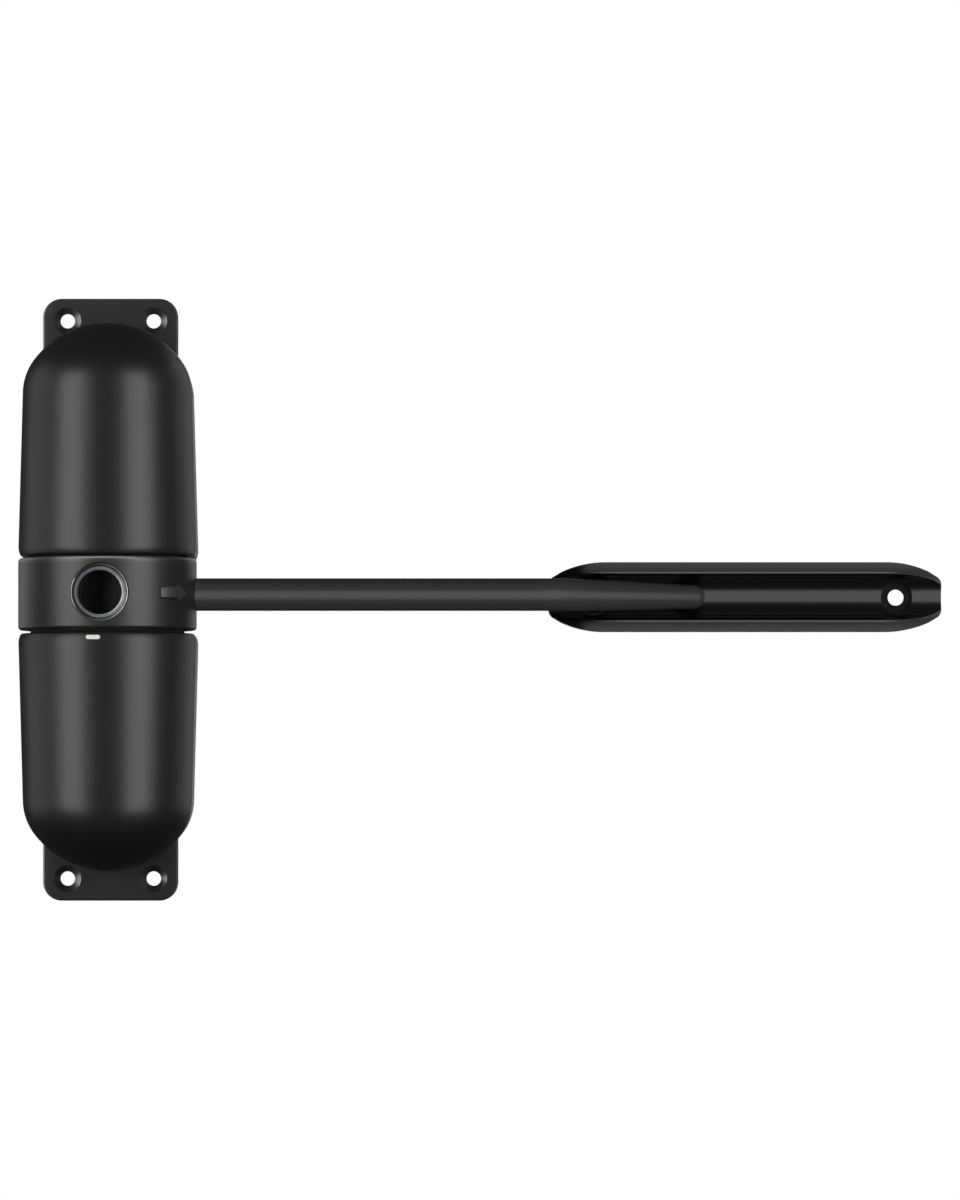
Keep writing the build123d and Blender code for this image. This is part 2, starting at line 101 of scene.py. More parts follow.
class CloserShape(PropertyGroup):
    """Sizes of the pieces that are modelled here."""

    cover_taper: length("Cover taper", 1.0, "How much narrower a cover is at its shoulder than its rim")
    cover_wall: length("Cover wall", 1.7, "Thickness of the covers")
    cover_rim_edge: length("Cover rim edge", 0.6, "Rounding of the covers' rims")
    cover_rim_softness: length("Cover rim softness", 4.0, "Radius of the soft turn above a cover's rim")
    dome_height: length("Dome height", 15.6, "Height of the domed end of a cover")
    mark_length: length("Mark length", 3.15, "Length of the index mark")
    mark_width: length("Mark width", 0.97, "Width of the index mark")
    spigot_step: length("Spigot step", 2.7, "How far the drum's spigots are inside its ring")
    ring_height: length("Ring height", 15.9, "Height of the drum's outer ring")
    ring_edge: length("Ring edge", 0.8, "Rounding of the ring's edges")
    socket_radius: length("Socket radius", 6.4, "Radius of the drum's sockets")
    socket_floor: length("Socket floor", 9.0, "Distance of the sockets' floors from the shaft's axis")
    sleeve_bore: length("Sleeve bore", 4.8, "Radius of the front sleeve's bore")
    sleeve_face: length("Sleeve face", 18.0, "Distance of the front sleeve's face from the shaft's axis")
    arm_sleeve_end: length("Rod sleeve end", 16.5, "Distance of the rod sleeve's end from the axis")
    front_socket_angle: FloatProperty(
        name="Front socket angle",
        default=radians(-3.4),
        description="Angle of the front socket from the front, towards the rod",
        subtype="ANGLE",
    )
    rod_radius: length("Rod radius", 3.6, "Radius of the rod's straight length")
    rod_tip_radius: length("Rod tip radius", 2.7, "Radius of the rod's round tip")
    rod_bend_radius: length("Rod bend radius", 12.0, "Radius of the rod's bend along its middle")
    rod_corner: length("Rod corner", 98.0, "Where the rod's two straight lengths would meet")
    groove_radius: length("Groove radius", 5.3, "Radius of the slide plate's groove")
    groove_depth: length("Groove depth", 4.0, "Depth of the slide plate's groove")
    track_fillet: length("Slide plate edge", 1.5, "Rounding of the slide plate's upper edge")
    spring_wire: length("Spring wire", 2.6, "Thickness of the springs' square wire")
    spring_radius: length("Spring radius", 12.0, "Mean radius of the springs' coils")
    spring_turns: IntProperty(name="Spring turns", default=8, min=1, description="Turns of each spring")


class CloserFinish(PropertyGroup):
    """Colours and finishes of the pieces."""

    paint: colour("Satin paint", (0.0075, 0.0075, 0.0066), "the covers and drum")
    plate_paint: colour("Plate paint", (0.013, 0.013, 0.0115), "the base plate")
    # The arrow's raised face is painted lighter than the ring: a painted highlight.
    arrow_highlight_paint: colour("Arrow highlight", (0.024, 0.024, 0.023), "the arrow's face, painted lighter as a highlight")
    paint_roughness: share("Paint roughness", 0.38, "Roughness of the satin paint")
    rod_paint: colour("Rod paint", (0.104, 0.096, 0.105), "the rod")
    rod_roughness: share("Rod roughness", 0.42, "Roughness of the rod's paint")
    gloss: colour("Gloss black", (0.0045, 0.0045, 0.0052), "the slide plate")
    # A lighter colour painted on the groove's lips as a highlight line.
    lip_highlight: colour("Lip highlight", (0.117, 0.117, 0.1352), "the groove's lips, painted lighter as a highlight line")
    gloss_roughness: share("Gloss roughness", 0.16, "Roughness of the slide plate")
    steel: colour("Sleeve steel", (0.42, 0.44, 0.46), "the turned sleeves")
    zinc: colour("Zinc plating", (0.56, 0.57, 0.6), "the plated steel inside")
    bronze: colour("Bush bronze", (0.5, 0.33, 0.16), "the bushes")
    spring_steel: colour("Spring steel", (0.2, 0.2, 0.215), "the oiled springs")
    nylon: colour("Nylon", (0.76, 0.75, 0.7), "the spring guides and the ball")
    mark: colour("Mark white", (0.72, 0.72, 0.71), "the index mark")


def chosen(context):
    """The sizes and the finishes that are set now."""
    return context.scene.closer_shape, context.scene.closer_finish


# Shader graphs


def step(operation, reflected=False):
    """A method that adds one Math node, with its two sides swapped where it is reflected."""

    def method(self, other):
        first, second = (other, self) if reflected else (self, other)
        return self.graph.maths(operation, first, second)

    return method


class Value:
    """A shader socket that can be used in sums, differences, products and powers."""

    def __init__(self, graph, socket):
        self.graph = graph
        self.socket = socket

    __add__, __radd__ = step("ADD"), step("ADD", True)
    __sub__, __rsub__ = step("SUBTRACT"), step("SUBTRACT", True)
    __mul__, __rmul__ = step("MULTIPLY"), step("MULTIPLY", True)
    __truediv__, __pow__ = step("DIVIDE"), step("POWER")


class Graph:
    """The shader nodes of a material or of the world."""

    def __init__(self, owner):
        owner.use_nodes = True
        self.owner = owner
        self.tree = owner.node_tree
        self.tree.nodes.clear()

    def node(self, kind, settings=None, inputs=None, output=0):
        """Adds a node, sets its settings, then the values or links of its sockets, and gives one output."""
        node = self.tree.nodes.new(kind)
        for name, value in (settings or {}).items():
            if name == "stops":
                while len(node.color_ramp.elements) < len(value):
                    node.color_ramp.elements.new(1)
                for element, (position, level) in zip(node.color_ramp.elements, value):
                    element.position = position
                    element.color = (level, level, level, 1)
            else:
                setattr(node, name, value)
        for name, value in (inputs or {}).items():
            if isinstance(value, Value):
                self.tree.links.new(value.socket, node.inputs[name])
            else:
                node.inputs[name].default_value = value
        return None if output is None else Value(self, node.outputs[output])

    def maths(self, operation, *values):
        """One step of arithmetic."""
        return self.node("ShaderNodeMath", {"operation": operation}, dict(enumerate(values)))

    def mix_shader(self, factor, first, second):
        """A shader between two shaders."""
        return self.node("ShaderNodeMixShader", {}, {0: factor, 1: first, 2: second})

    def close(self, kind, shader):
        """Joins a shader to the output, a node of a given kind, and gives what the graph belongs to."""
        self.node(kind, {}, {"Surface": shader}, None)
        return self.owner


class Finish(Graph):
    """The shader nodes of a finish that is laid out in the piece's own coordinates."""

    def __init__(self, name):
        super().__init__(bpy.data.materials.new(name))
        self.place = self.node("ShaderNodeTexCoord", output="Object")

    def axis(self, name):
        """One coordinate of a place on the piece."""
        return self.node("ShaderNodeSeparateXYZ", {}, {0: self.place}, name)

    def noise(self, size, detail=2.0, stretch=(1, 1, 1)):
        """Noise between nought and one, with features of a size in millimetres, stretched along the axes."""
        place = self.node("ShaderNodeMapping", {}, {"Vector": self.place, "Scale": [1 / s for s in stretch]})
        inputs = {"Vector": place, "Scale": 1 / (size * MM), "Detail": detail}
        return self.node("ShaderNodeTexNoise", {}, inputs, "Fac")

    def ramp(self, value, *stops):
        """A value passed through a ramp of positions and levels."""
        return self.node("ShaderNodeValToRGB", {"stops": stops}, {"Fac": value})

    def blend(self, factor, first, second):
        """A colour between two colours."""
        first, second = (c if isinstance(c, Value) else (*c, 1) for c in (first, second))
        return self.node("ShaderNodeMix", {"data_type": "RGBA"}, {0: factor, 6: first, 7: second}, 2)

    def shades(self, factor, rgb, dark, light):
        """A colour that varies between a darker and a lighter form of itself."""
        return self.blend(factor, tint(rgb, dark), tint(rgb, light))

    def bump(self, height, depth):
        """A normal from a height field, with its depth in millimetres."""
        return self.node("ShaderNodeBump", {}, {"Height": height, "Distance": depth * MM, "Strength": 1.0})

    def surface(self, **inputs):
        """Finishes the graph with a Principled shader; underscores in the names stand for spaces."""
        sockets = {name.replace("_", " "): value for name, value in inputs.items()}
        return self.close("ShaderNodeOutputMaterial", self.node("ShaderNodeBsdfPrincipled", {}, sockets))


def tint(rgb, factor):
    """A colour made lighter or darker."""
    return tuple(min(1.0, c * factor) for c in rgb)


def satin_paint(finish, name, shade, ring_half=0.0):
    """Satin paint with a fine orange peel; a ring has bare spigots, an arrow painted lighter as a highlight
    and a polished edge.
    """
    graph = Finish(name)
    mottle = graph.noise(9, 3.0)
    grain = graph.noise(0.35)
    peel = graph.noise(1.3, 1.0)
    paint = graph.shades(mottle, shade, 0.9, 1.12)
    roughness = finish.paint_roughness - 0.03 + mottle * 0.03 + grain * 0.04
    polish = 0.0
    if ring_half:
        rise = graph.axis("Z") - DRUM_Z
        past_ring = ring_half + 0.05 * MM
        bare = graph.maths("GREATER_THAN", graph.maths("ABSOLUTE", rise), past_ring)
        height = (graph.axis("X") ** 2.0 + (graph.axis("Y") - SHAFT_Y) ** 2.0) ** 0.5 - DRUM_RADIUS
        polish = graph.ramp(rise / ring_half, (0.82, 0), (0.95, 1)) * (1.0 - bare)
        # The arrow's raised face is painted lighter: a painted highlight.
        arrow_highlight = graph.ramp(height / (0.5 * MM), (0.1, 0), (0.4, 1))
        paint = graph.blend(arrow_highlight, paint, finish.arrow_highlight_paint)
        roughness = roughness + bare * 0.5
    return graph.surface(
        Base_Color=paint,
        Roughness=roughness,
        Coat_Weight=polish,
        Coat_Roughness=0.4,
        Normal=graph.bump(peel * 0.6 + grain * 0.12, 0.006),
    )


def rod_paint(finish):
    """Smooth dark finish on drawn steel, with fine marks along the rod."""
    graph = Finish("rod paint")
    marks = graph.noise(0.3, 3.0, (40, 1, 1))
    mottle = graph.noise(7)
    return graph.surface(
        Base_Color=graph.shades(mottle, finish.rod_paint, 0.93, 1.08),
        Roughness=finish.rod_roughness + marks * 0.05,
        Coat_Weight=0.6,
        Coat_Roughness=0.3,
        Coat_IOR=1.8,
        Normal=graph.bump(marks, 0.003),
    )


def gloss_black(finish):
    """Gloss black of the slide plate, greased in its groove, with rounded rails and a highlight line painted
    on the groove's lips.
    """
    graph = Finish("gloss black")
    marks = graph.noise(0.4, 3.0, (30, 1, 1))
    cloud = graph.noise(6)
    apart = graph.maths("ABSOLUTE", graph.axis("Z") - DRUM_Z)
    along = (graph.axis("X") - track_low.x) / (track_high.x - track_low.x)
    grease = graph.ramp(apart / (6 * MM), (0.5, 0.85), (0.8, 0))
    rails = graph.ramp(apart / (8 * MM), (0.71, 0), (0.97, 0.5))
    # The groove's lips take a lighter, metallic colour: a painted highlight line.
    lips = graph.ramp(apart / (6 * MM), (0.885, 0), (0.893, 1), (0.918, 1), (0.926, 0))
    lips = lips * graph.ramp(along, (0.08, 0), (0.13, 1), (0.86, 1), (0.9, 0))
    return graph.surface(
        Base_Color=graph.blend(lips, graph.shades(cloud, finish.gloss, 0.85, 1.2), finish.lip_highlight),
        Roughness=finish.gloss_roughness - 0.02 + cloud * 0.03 + marks * 0.03,
        Metallic=lips,
        Coat_Weight=grease + lips + rails,
        Coat_Roughness=0.28,
        Coat_IOR=1.8,
        Normal=graph.bump(cloud * 0.7 + marks * 0.2, 0.004),
    )


def turned_steel(finish, name, across, middle):
    """Steel turned on a lathe: fine rings about a sleeve's own axis and a slight grey film."""
    graph = Finish(name)
    ring_pitch = 0.22 * MM
    distance = ((graph.axis(across) - middle) ** 2.0 + (graph.axis("Z") - DRUM_Z) ** 2.0) ** 0.5
    rings = graph.maths("SINE", distance * (tau / ring_pitch))
    film = graph.noise(2.2, 3.0)
    return graph.surface(
        Base_Color=graph.shades(film, finish.steel, 0.72, 1.05),
        Metallic=1.0,
        Roughness=0.27 + film * 0.12,
        Normal=graph.bump(rings * 0.5 + film * 0.8, 0.006),
    )


def zinc_plating(finish):
    """Bright zinc plating with soft spangles and a faint warm tint."""
    graph = Finish("zinc plating")
    spangle = graph.noise(1.6)
    warm = graph.ramp(graph.noise(6), (0.4, 0), (0.7, 1))
    yellow = (finish.zinc[0], finish.zinc[1] * 0.98, finish.zinc[2] * 0.88)
    return graph.surface(
        Base_Color=graph.blend(warm, tint(finish.zinc, 0.95), yellow),
        Metallic=1.0,
        Roughness=0.26 + spangle * 0.16,
        Normal=graph.bump(spangle, 0.004),
    )


def ground_steel(finish):
    """Steel ground round, with fine rings about the shaft."""
    graph = Finish("ground steel")
    rings = graph.noise(0.25, 3.0, (30, 30, 1))
    return graph.surface(
        Base_Color=graph.shades(rings, finish.steel, 1.2, 1.4),
        Metallic=1.0,
        Roughness=0.2 + rings * 0.12,
        Normal=graph.bump(rings, 0.002),
    )


def spring_finish(finish):
    """Dark oil-hardened spring steel, with drawing marks round the coils and thin oil."""
    graph = Finish("oiled spring steel")
    marks = graph.noise(0.3, 3.0, (12, 12, 1))
    oil = graph.noise(3)
    return graph.surface(
        Base_Color=graph.shades(oil, finish.spring_steel, 0.75, 1.2),
        Metallic=1.0,
        Roughness=0.3 + marks * 0.14 - oil * 0.06,
        Coat_Weight=0.4 * oil,
        Normal=graph.bump(marks, 0.004),
    )


def sintered_bronze(finish):
    """Sintered bronze: small dark pores in a dull warm metal."""
    graph = Finish("sintered bronze")
    pores = graph.ramp(graph.noise(0.22, 1.0), (0.34, 0), (0.46, 1))
    return graph.surface(
        Base_Color=graph.shades(pores, finish.bronze, 0.35, 1.0),
        Metallic=1.0,
        Roughness=0.55 - pores * 0.15,
        Normal=graph.bump(pores, 0.01),
    )


def moulded_nylon(name, shade, roughness):
    """Moulded plastic with a fine spark-eroded grain."""
    graph = Finish(name)
    grain = graph.noise(0.3)
    cloud = graph.noise(5)
    return graph.surface(
        Base_Color=graph.shades(cloud, shade, 0.94, 1.03),
        Roughness=roughness + grain * 0.08,
        Normal=graph.bump(grain, 0.008),
    )


def pale_stage(name, mirrored):
    """A pale surface that the camera, and metal where it is mirrored, sees as plain white."""
    graph = Graph(bpy.data.materials.new(name))
    path = graph.node("ShaderNodeLightPath", output="Is Camera Ray")
    if mirrored:
        path = path + graph.node("ShaderNodeLightPath", output="Is Glossy Ray")
        path = path + graph.node("ShaderNodeLightPath", output="Is Transmission Ray")
    matt = graph.node("ShaderNodeBsdfDiffuse", {}, {"Color": (0.75, 0.75, 0.75, 1)})
    white = graph.node("ShaderNodeEmission", {}, {"Color": (1, 1, 1, 1), "Strength": 1.0})
    return graph.close("ShaderNodeOutputMaterial", graph.mix_shader(path, matt, white))


# Mesh helpers


def arc(centre, radius, start, end, steps):
    """Points on an arc in a profile's plane, with its angles in degrees."""
    angles = [radians(start + (end - start) * step / steps) for step in range(steps + 1)]
    return [(centre[0] + radius * cos(a), centre[1] + radius * sin(a)) for a in angles]


def turned(angle, axis, place):
    """A place, turned by an angle about an axis."""
    return Matrix.Translation(place) @ Matrix.Rotation(angle, 4, axis)


def outward(angle, height=DRUM_Z, distance=0.0):
    """Turns +Z to a radius of the drum, at an angle from the front towards the rod."""
    direction = Vector((sin(angle), -cos(angle), 0))
    place = Vector((0, SHAFT_Y, height)) + direction * distance
    return Matrix.Translation(place) @ direction.to_track_quat("Z", "Y").to_matrix().to_4x4()


def edges_of(made):
    """The edges among the parts that an operator made."""
    return [part for part in made if isinstance(part, bmesh.types.BMEdge)]


def verts_of(made):
    """The vertices among the parts that an operator made."""
    return [part for part in made if isinstance(part, bmesh.types.BMVert)]


def edges_round(verts):
    """The edges that meet at some vertices, in their order."""
    return list(dict.fromkeys(edge for vert in verts for edge in vert.link_edges))


def extrude(bm, edges):
    """Extrudes edges in place and gives the new edges, then their vertices."""
    made = bmesh.ops.extrude_edge_only(bm, edges=edges)["geom"]
    verts = verts_of(made)
    return [edge for edge in edges_of(made) if all(vert in verts for vert in edge.verts)], verts


def bevel(bm, parts, offset, segments, affect="EDGES", clamp=False):
    """Rounds edges or corners."""
    bmesh.ops.bevel(
        bm,
        geom=parts,
        offset=offset,
        segments=segments,
        profile=0.5,
        affect=affect,
        material=-1,
        clamp_overlap=clamp,
    )


def prism(outline, step):
    """A flat outline drawn out by a step."""
    bm = bmesh.new()
    bm.faces.new([bm.verts.new(point) for point in outline])
    made = bmesh.ops.extrude_face_region(bm, geom=bm.faces[:])["geom"]
    bmesh.ops.translate(bm, verts=verts_of(made), vec=step)
    bmesh.ops.recalc_face_normals(bm, faces=bm.faces)
    return bm


def block(size, middle):
    """A box about its middle."""
    bm = bmesh.new()
    bmesh.ops.create_cube(bm, size=1, matrix=Matrix.Translation(middle) @ Matrix.Diagonal((*size, 1)))
    return bm


def cylinder(radius, depth, segments, place):
    """A cylinder about its middle, along +Z before it is placed."""
    bm = bmesh.new()
    bmesh.ops.create_cone(
        bm, cap_ends=True, segments=segments, radius1=radius, radius2=radius, depth=depth, matrix=place
    )
    return bm


def sphere(radius, middle):
    """A ball about its middle."""
    bm = bmesh.new()
    bmesh.ops.create_uvsphere(
        bm, u_segments=48, v_segments=24, radius=radius, matrix=Matrix.Translation(middle)
    )
    return bm


def lathe(points, place, steps, closed=True):
    """Spins a profile of (distance, height) points once about +Z, before it is placed."""
    bm = bmesh.new()
    verts = [bm.verts.new((x, 0, z)) for x, z in points]
    edges = [bm.edges.new(pair) for pair in zip(verts, verts[1:])]
    if closed:
        edges.append(bm.edges.new((verts[-1], verts[0])))
    bmesh.ops.spin(
        bm, geom=verts + edges, cent=(0, 0, 0), axis=(0, 0, 1), angle=tau, steps=steps, use_merge=True
    )
    bmesh.ops.remove_doubles(bm, verts=bm.verts, dist=NEAR)
    bmesh.ops.transform(bm, matrix=place, verts=bm.verts)
    bmesh.ops.recalc_face_normals(bm, faces=bm.faces)
    return bm


def add_object(name, data):
    """Adds a mesh, a light or a camera to the scene."""
    thing = bpy.data.objects.new(name, data)
    bpy.context.scene.collection.objects.link(thing)
    return thing


def plain_object(bm, name):
    """Makes a bmesh an object of the scene."""
    mesh = bpy.data.meshes.new(name)
    bm.to_mesh(mesh)
    bm.free()
    return add_object(name, mesh)


def evaluated(thing):
    """The mesh of an object with its modifiers applied, as a bmesh; the object is removed."""
    bpy.context.view_layer.update()
    shown = thing.evaluated_get(bpy.context.evaluated_depsgraph_get())
    mesh = bpy.data.meshes.new_from_object(shown)
    bm = bmesh.new()
    bm.from_mesh(mesh)
    bpy.data.meshes.remove(mesh)
    bpy.data.objects.remove(thing)
    return bm


def carve(bm, cutters, operation="DIFFERENCE"):
    """Cuts closed shapes out of a closed shape, or keeps only what they share."""
    blank = plain_object(bm, "blank")
    tools = [plain_object(cutter, "cutter") for cutter in cutters]
    for tool in tools:
        modifier = blank.modifiers.new("carve", "BOOLEAN")
        modifier.operation = operation
        modifier.solver = "EXACT"
        modifier.object = tool
    result = evaluated(blank)
    for tool in tools:
        bpy.data.objects.remove(tool)
    return result


def join_in(bm, other):
    """Adds another bmesh's faces to a bmesh."""
    mesh = bpy.data.meshes.new("part")
    other.to_mesh(mesh)
    other.free()
    bm.from_mesh(mesh)
    bpy.data.meshes.remove(mesh)


def finish_piece(bm, name, body, node, material, sharp=32):
    """Smooths a shape but for its sharp edges, and puts it in the place of a node.

    A body of None leaves the piece attached to no body.
    """
    bmesh.ops.remove_doubles(bm, verts=bm.verts, dist=2 * NEAR)
    bmesh.ops.recalc_face_normals(bm, faces=bm.faces)
    for face in bm.faces:
        face.smooth = True
    for edge in bm.edges:
        edge.smooth = len(edge.link_faces) == 2 and edge.calc_face_angle(0) < radians(sharp)
    piece = plain_object(bm, name)
    piece.data.materials.append(material)
    if body:
        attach(piece, body)
    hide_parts(node)
    return piece


def paint_node(node, material):
    """Gives a node that stays its finish."""
    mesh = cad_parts[node].data
    mesh.materials.clear()
    mesh.materials.append(material)


def pill(length, width, reach, top):
    """A pill shape below the lower cover's rim, whose face is a little above the drum's radius."""
    radius, half = width / 2, (length - width) / 2
    right = arc((half, 0), radius, -90, 90, 16)
    bm = prism([(x, z, 0) for x, z in right + [(-x, -z) for x, z in right]], (0, 0, reach))
    low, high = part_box("index_mark")
    angle, lift = radians(-7.4), 0.12 * MM
    place = outward(angle, (low.z + high.z) / 2 + lift, DRUM_RADIUS - reach + top)
    upright = place.inverted().to_3x3() @ Vector((0, 0, 1))
    level = Matrix.Rotation(atan2(upright.y, upright.x) - QUARTER, 4, "Z")
    bmesh.ops.transform(bm, matrix=place @ level, verts=bm.verts)
    return bm


# Operators, one for each piece or group of like pieces


class CLOSER_OT_covers(Operator):
    """Model the two domed covers"""

    bl_idname = "closer.covers"
    bl_label = "Covers"

    def execute(self, context):
        shape, finish = chosen(context)
        paint = satin_paint(finish, "cover paint", finish.paint)
        for side, name in ((1, "upper_cover"), (-1, "lower_cover")):
            low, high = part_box(name)
            rim, apex = (low.z, high.z) if side > 0 else (high.z, low.z)
            shell = self.shell(shape, side, rim, apex, high.y)
            finish_piece(shell, name + "_shell", "housing", name, paint, 40)
        return {"FINISHED"}

    def outline(self, shape, side, rim, apex):
        """Points (distance from the axis, height) from a cover's rim over its shoulder to its apex."""
        edge, soft = shape.cover_rim_edge, shape.cover_rim_softness
        shoulder = apex - side * shape.dome_height
        radius = DRUM_RADIUS - shape.cover_taper
        meet, lean = 37, 25  # degrees: where the dome's two arcs meet, and where the rim's two arcs meet
        cosine, sine = cos(radians(meet)), sin(radians(meet))
        corner = (shape.dome_height * cosine - radius * (1 - sine)) / (cosine + sine - 1)
        crown = (radius * sine - shape.dome_height * (1 - cosine)) / (cosine + sine - 1)
        dome = [(radius, 0)]
        dome += arc((radius - corner, 0), corner, 0, meet, 14)[1:]
        dome += arc((0, shape.dome_height - crown), crown, meet, 90, 22)[1:]
        turn_in, run_in = cos(radians(lean)), sin(radians(lean))
        start = edge + (soft - edge) * run_in
        widest = DRUM_RADIUS - shape.cover_taper * start / abs(shoulder - rim)
        taper = arc((widest - soft, start), soft, 0, -lean, 8)[:-1]
        taper += arc((widest - soft + (soft - edge) * turn_in, edge), edge, -lean, -90, 6)
        points = [(r, rim + side * z) for r, z in reversed(taper)]
        points += [(r, shoulder + side * z) for r, z in dome[:-1]]
        return points + [(0, apex)]

    def shell(self, shape, side, rim, apex, back_y):
        """A cover's outline, spun round the front and carried straight back, then given its wall."""
        bm = bmesh.new()
        verts = [bm.verts.new((r, SHAFT_Y, z)) for r, z in self.outline(shape, side, rim, apex)]
        edges = [bm.edges.new(pair) for pair in zip(verts, verts[1:])]
        spun = bmesh.ops.spin(
            bm, geom=verts + edges, cent=(0, SHAFT_Y, 0), axis=(0, 0, 1), angle=-pi, steps=110
        )
        for run in (edges, edges_of(spun["geom_last"])):
            bmesh.ops.translate(bm, verts=extrude(bm, run)[1], vec=(0, back_y - SHAFT_Y, 0))
        bmesh.ops.remove_doubles(bm, verts=bm.verts, dist=10 * NEAR)
        on_rim = [v for v in bm.verts if abs(v.co.z - rim) < NEAR]
        mouth = [e for e in bm.edges if e.is_boundary and all(abs(v.co.z - rim) < NEAR for v in e.verts)]
        mouth.append(bm.edges.new([v for v in on_rim if abs(v.co.y - back_y) < NEAR]))
        spigot_gap = 0.4 * MM
        radius = DRUM_RADIUS - shape.spigot_step + spigot_gap
        place = Matrix.Translation((0, SHAFT_Y, rim))
        hole = bmesh.ops.create_circle(bm, segments=128, radius=radius, matrix=place)
        mouth += edges_round(hole["verts"])
        bmesh.ops.triangle_fill(bm, use_beauty=True, edges=mouth)
        bmesh.ops.recalc_face_normals(bm, faces=bm.faces)
        foremost = min(bm.faces, key=lambda face: face.calc_center_median().y)
        if foremost.normal.y > 0:
            bmesh.ops.reverse_faces(bm, faces=bm.faces)
        skin = plain_object(bm, "skin")
        solidify = skin.modifiers.new("wall", "SOLIDIFY")
        solidify.thickness, solidify.offset = shape.cover_wall, -1
        solidify.use_even_offset = True
        cutters = [self.notch(side)]
        if side < 0:
            room, reach, above = 0.15 * MM, 1.6 * MM, 0.8 * MM
            cutters.append(pill(shape.mark_length + room, shape.mark_width + room, reach, above))
        return carve(evaluated(skin), cutters)

    def notch(self, side):
        """The room that a cover leaves for the base plate."""
        gap, start, deep = 0.3 * MM, 2 * MM, 4 * MM
        size = (plate_high.x - plate_low.x + 2 * gap, deep, plate_high.z)
        return block(size, (0, 0, side * (start + plate_high.z / 2)))


class CLOSER_OT_drum(Operator):
    """Model the turning ring with its spigots, sockets and arrow"""

    bl_idname = "closer.drum"
    bl_label = "Drum"

    def execute(self, context):
        shape, finish = chosen(context)
        half, edge = shape.ring_height / 2, shape.ring_edge
        spigot, chamfer, bush_hole = DRUM_RADIUS - shape.spigot_step, 0.3 * MM, 5.55 * MM
        side = [
            (bush_hole, DRUM_HALF),
            (spigot - chamfer, DRUM_HALF),
            (spigot, DRUM_HALF - chamfer),
            (spigot, half),
            *arc((DRUM_RADIUS - edge, half - edge), edge, 90, 0, 5),
        ]
        points = side + [(r, -z) for r, z in reversed(side)]
        ring = lathe(points, Matrix.Translation((0, SHAFT_Y, DRUM_Z)), 288)
        socket, beyond = shape.socket_radius, 2 * DRUM_RADIUS
        rod_hole, pocket = shape.rod_radius + FIT, shape.arm_sleeve_end + FIT
        cavity = [(0, shape.socket_floor), (socket, shape.socket_floor)]
        front = cavity + [(socket, beyond), (0, beyond)]
        beside = cavity + [(socket, pocket), (rod_hole, pocket), (rod_hole, beyond), (0, beyond)]
        cutters = [
            lathe(front, outward(shape.front_socket_angle), 96, closed=False),
            lathe(beside, outward(QUARTER), 96, closed=False),
        ]
        leg_hole, through = 2 * MM, 8 * MM
        for end in (DRUM_Z + DRUM_HALF, DRUM_Z - DRUM_HALF):
            spring_leg = Matrix.Translation((0, SHAFT_Y + shape.spring_radius, end))
            cutters.append(cylinder(leg_hole, through, 32, spring_leg))
        ring = carve(ring, cutters)
        join_in(ring, self.arrow())
        paint = satin_paint(finish, "ring paint", tint(finish.paint, 1.15), half)
        finish_piece(ring, "drum_ring", "arm", "drum", paint)
        return {"FINISHED"}

    def arrow(self):
        """A raised arrow with sloping sides, bent a little more sharply than the ring that carries it."""
        bend, rise, steps, slant = 10.5 * MM, 0.75 * MM, 8, 0.45 * MM
        pivot = Vector((0, bend - rise - DRUM_RADIUS, 0))
        shaft, head = (-4.7, 0.8, 1.35, 1.0), (0.8, 4.7, 2.1, 0.02)
        bm = bmesh.new()
        for start, end, half, tip in (shaft, head):  # mm along the arrow, half width, share left at the end
            side = [(-1.6, half), (-0.5, half), (0, half - 0.35)]
            profile = side + [(depth, -z) for depth, z in reversed(side)]
            verts = [bm.verts.new((0, pivot.y - bend - depth * MM, z * MM)) for depth, z in profile]
            edges = bm.faces.new(verts).edges[:]
            bmesh.ops.rotate(bm, verts=verts, cent=pivot, matrix=Matrix.Rotation(start * MM / bend, 3, "Z"))
            turn = Matrix.Rotation((end - start) * MM / bend / steps, 3, "Z")
            shares = [1 + (tip - 1) * step / steps for step in range(steps + 1)]
            for before, after in zip(shares, shares[1:]):
                edges, moved = extrude(bm, edges)
                bmesh.ops.rotate(bm, verts=moved, cent=pivot, matrix=turn)
                bmesh.ops.scale(bm, verts=moved, vec=(1, 1, after / before))
            bmesh.ops.contextual_create(bm, geom=edges)
            if tip == 1.0:
                slope = Matrix.Rotation(slant / bend, 3, "Z")
                bmesh.ops.rotate(bm, verts=verts[2:4], cent=pivot, matrix=slope)
        place = turned(radians(49.5), "Z", (0, SHAFT_Y, DRUM_Z))
        bmesh.ops.transform(bm, matrix=place, verts=bm.verts)
        return bm


class CLOSER_OT_sleeves(Operator):
    """Model the two turned steel sleeves in the drum's sockets"""

    bl_idname = "closer.sleeves"
    bl_label = "Socket sleeves"

    def execute(self, context):
        shape, finish = chosen(context)
        outer, floor = shape.socket_radius - FIT, shape.socket_floor
        edge, crest, lip, dished = 0.12 * MM, 0.2 * MM, 0.8 * MM, 0.7 * MM
        front = turned_steel(finish, "turned steel, front", "X", 0.0)
        beside = turned_steel(finish, "turned steel, rod side", "Y", SHAFT_Y)
        for angle, bore, face, dish, name, steel in (
            (shape.front_socket_angle, shape.sleeve_bore, shape.sleeve_face, dished, "front", front),
            (QUARTER, shape.rod_radius + FIT, shape.arm_sleeve_end, 0, "arm", beside),
        ):
            points = [
                (bore, floor),
                (outer, floor),
                *arc((outer - crest, face + dish - crest), crest, 0, 130, 6),
                (outer - lip, face),
                *arc((bore + edge, face - edge), edge, 90, 180, 4),
            ]
            sleeve = lathe(points, outward(angle), 128)
            node = name + "_socket_sleeve"
            finish_piece(sleeve, node + "_turned", "arm", node, steel, 50)
        return {"FINISHED"}


